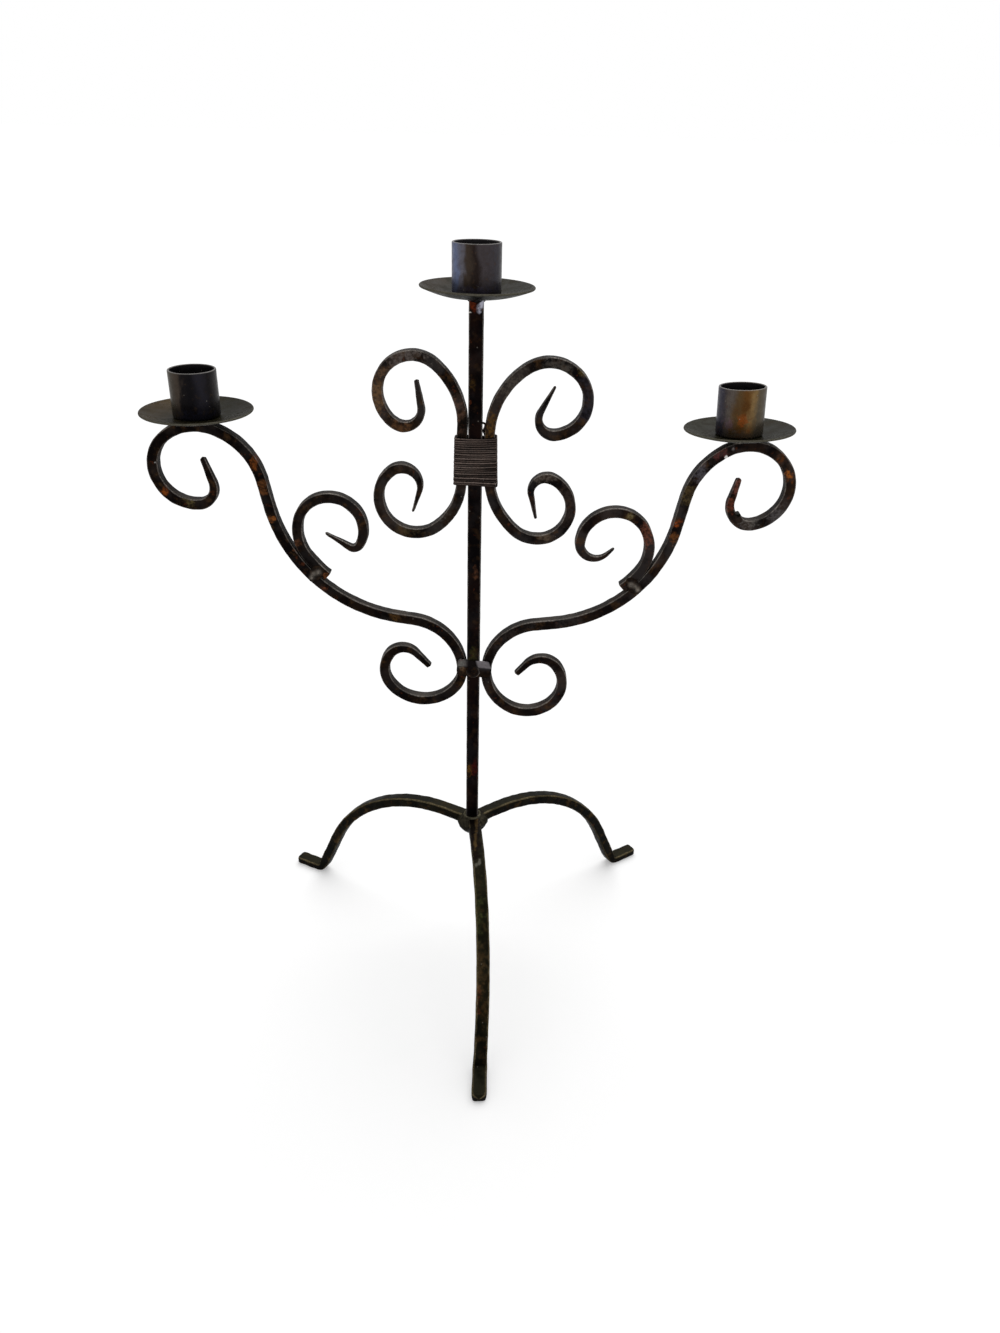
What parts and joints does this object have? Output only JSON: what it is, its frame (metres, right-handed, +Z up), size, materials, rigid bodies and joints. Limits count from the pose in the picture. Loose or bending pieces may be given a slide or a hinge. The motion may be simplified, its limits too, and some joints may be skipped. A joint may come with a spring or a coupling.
{
  "type": "candle stand",
  "caption": "Forged square-bar candle stand with an upright post, scrolled arms and C-scrolls, round drip pans with candle cups, and an arched tripod foot.",
  "frame": {"origin": "middle of the underside of the bounding box, on the surface that the stand rests on", "axes": "+Z up along the post; the arms spread along X; the front leg points to -Y"},
  "size_m": [0.385, 0.2534, 0.4827],
  "materials": {
    "bar_iron": "blackened wrought bar, semi-gloss, mottled brown with rust and amber patches and rubbed edges",
    "foot_iron": "the same blackened bar with an olive cast, worn paler along the edges",
    "weld_iron": "beaded weld metal, grey where it is bare",
    "wire_iron": "annealed binding wire, brown-grey, dull",
    "pan_steel": "pressed sheet with an olive-grey lacquered patina",
    "cup_steel": "rolled sheet, heat-tinted blue-violet and bronze under lacquer"
  },
  "bodies": {
    "root": {"post": "bar_iron", "front_leg": "foot_iron", "right_leg": "foot_iron", "left_leg": "foot_iron", "hub_weld": "weld_iron", "left_arm": "bar_iron", "right_arm": "bar_iron", "left_arm_scroll": "bar_iron", "right_arm_scroll": "bar_iron", "left_arm_weld": "weld_iron", "right_arm_weld": "weld_iron", "collar_strap": "bar_iron", "collar_rivet": "bar_iron", "left_c_scroll": "bar_iron", "right_c_scroll": "bar_iron", "wire_binding": "wire_iron", "top_pan_weld": "weld_iron", "left_pan_weld": "weld_iron", "right_pan_weld": "weld_iron", "top_drip_pan": "pan_steel", "top_candle_cup": "cup_steel", "top_cup_rivet": "cup_steel", "left_drip_pan": "pan_steel", "left_candle_cup": "cup_steel", "left_cup_rivet": "cup_steel", "right_drip_pan": "pan_steel", "right_candle_cup": "cup_steel", "right_cup_rivet": "cup_steel"}
  },
  "joints": []
}
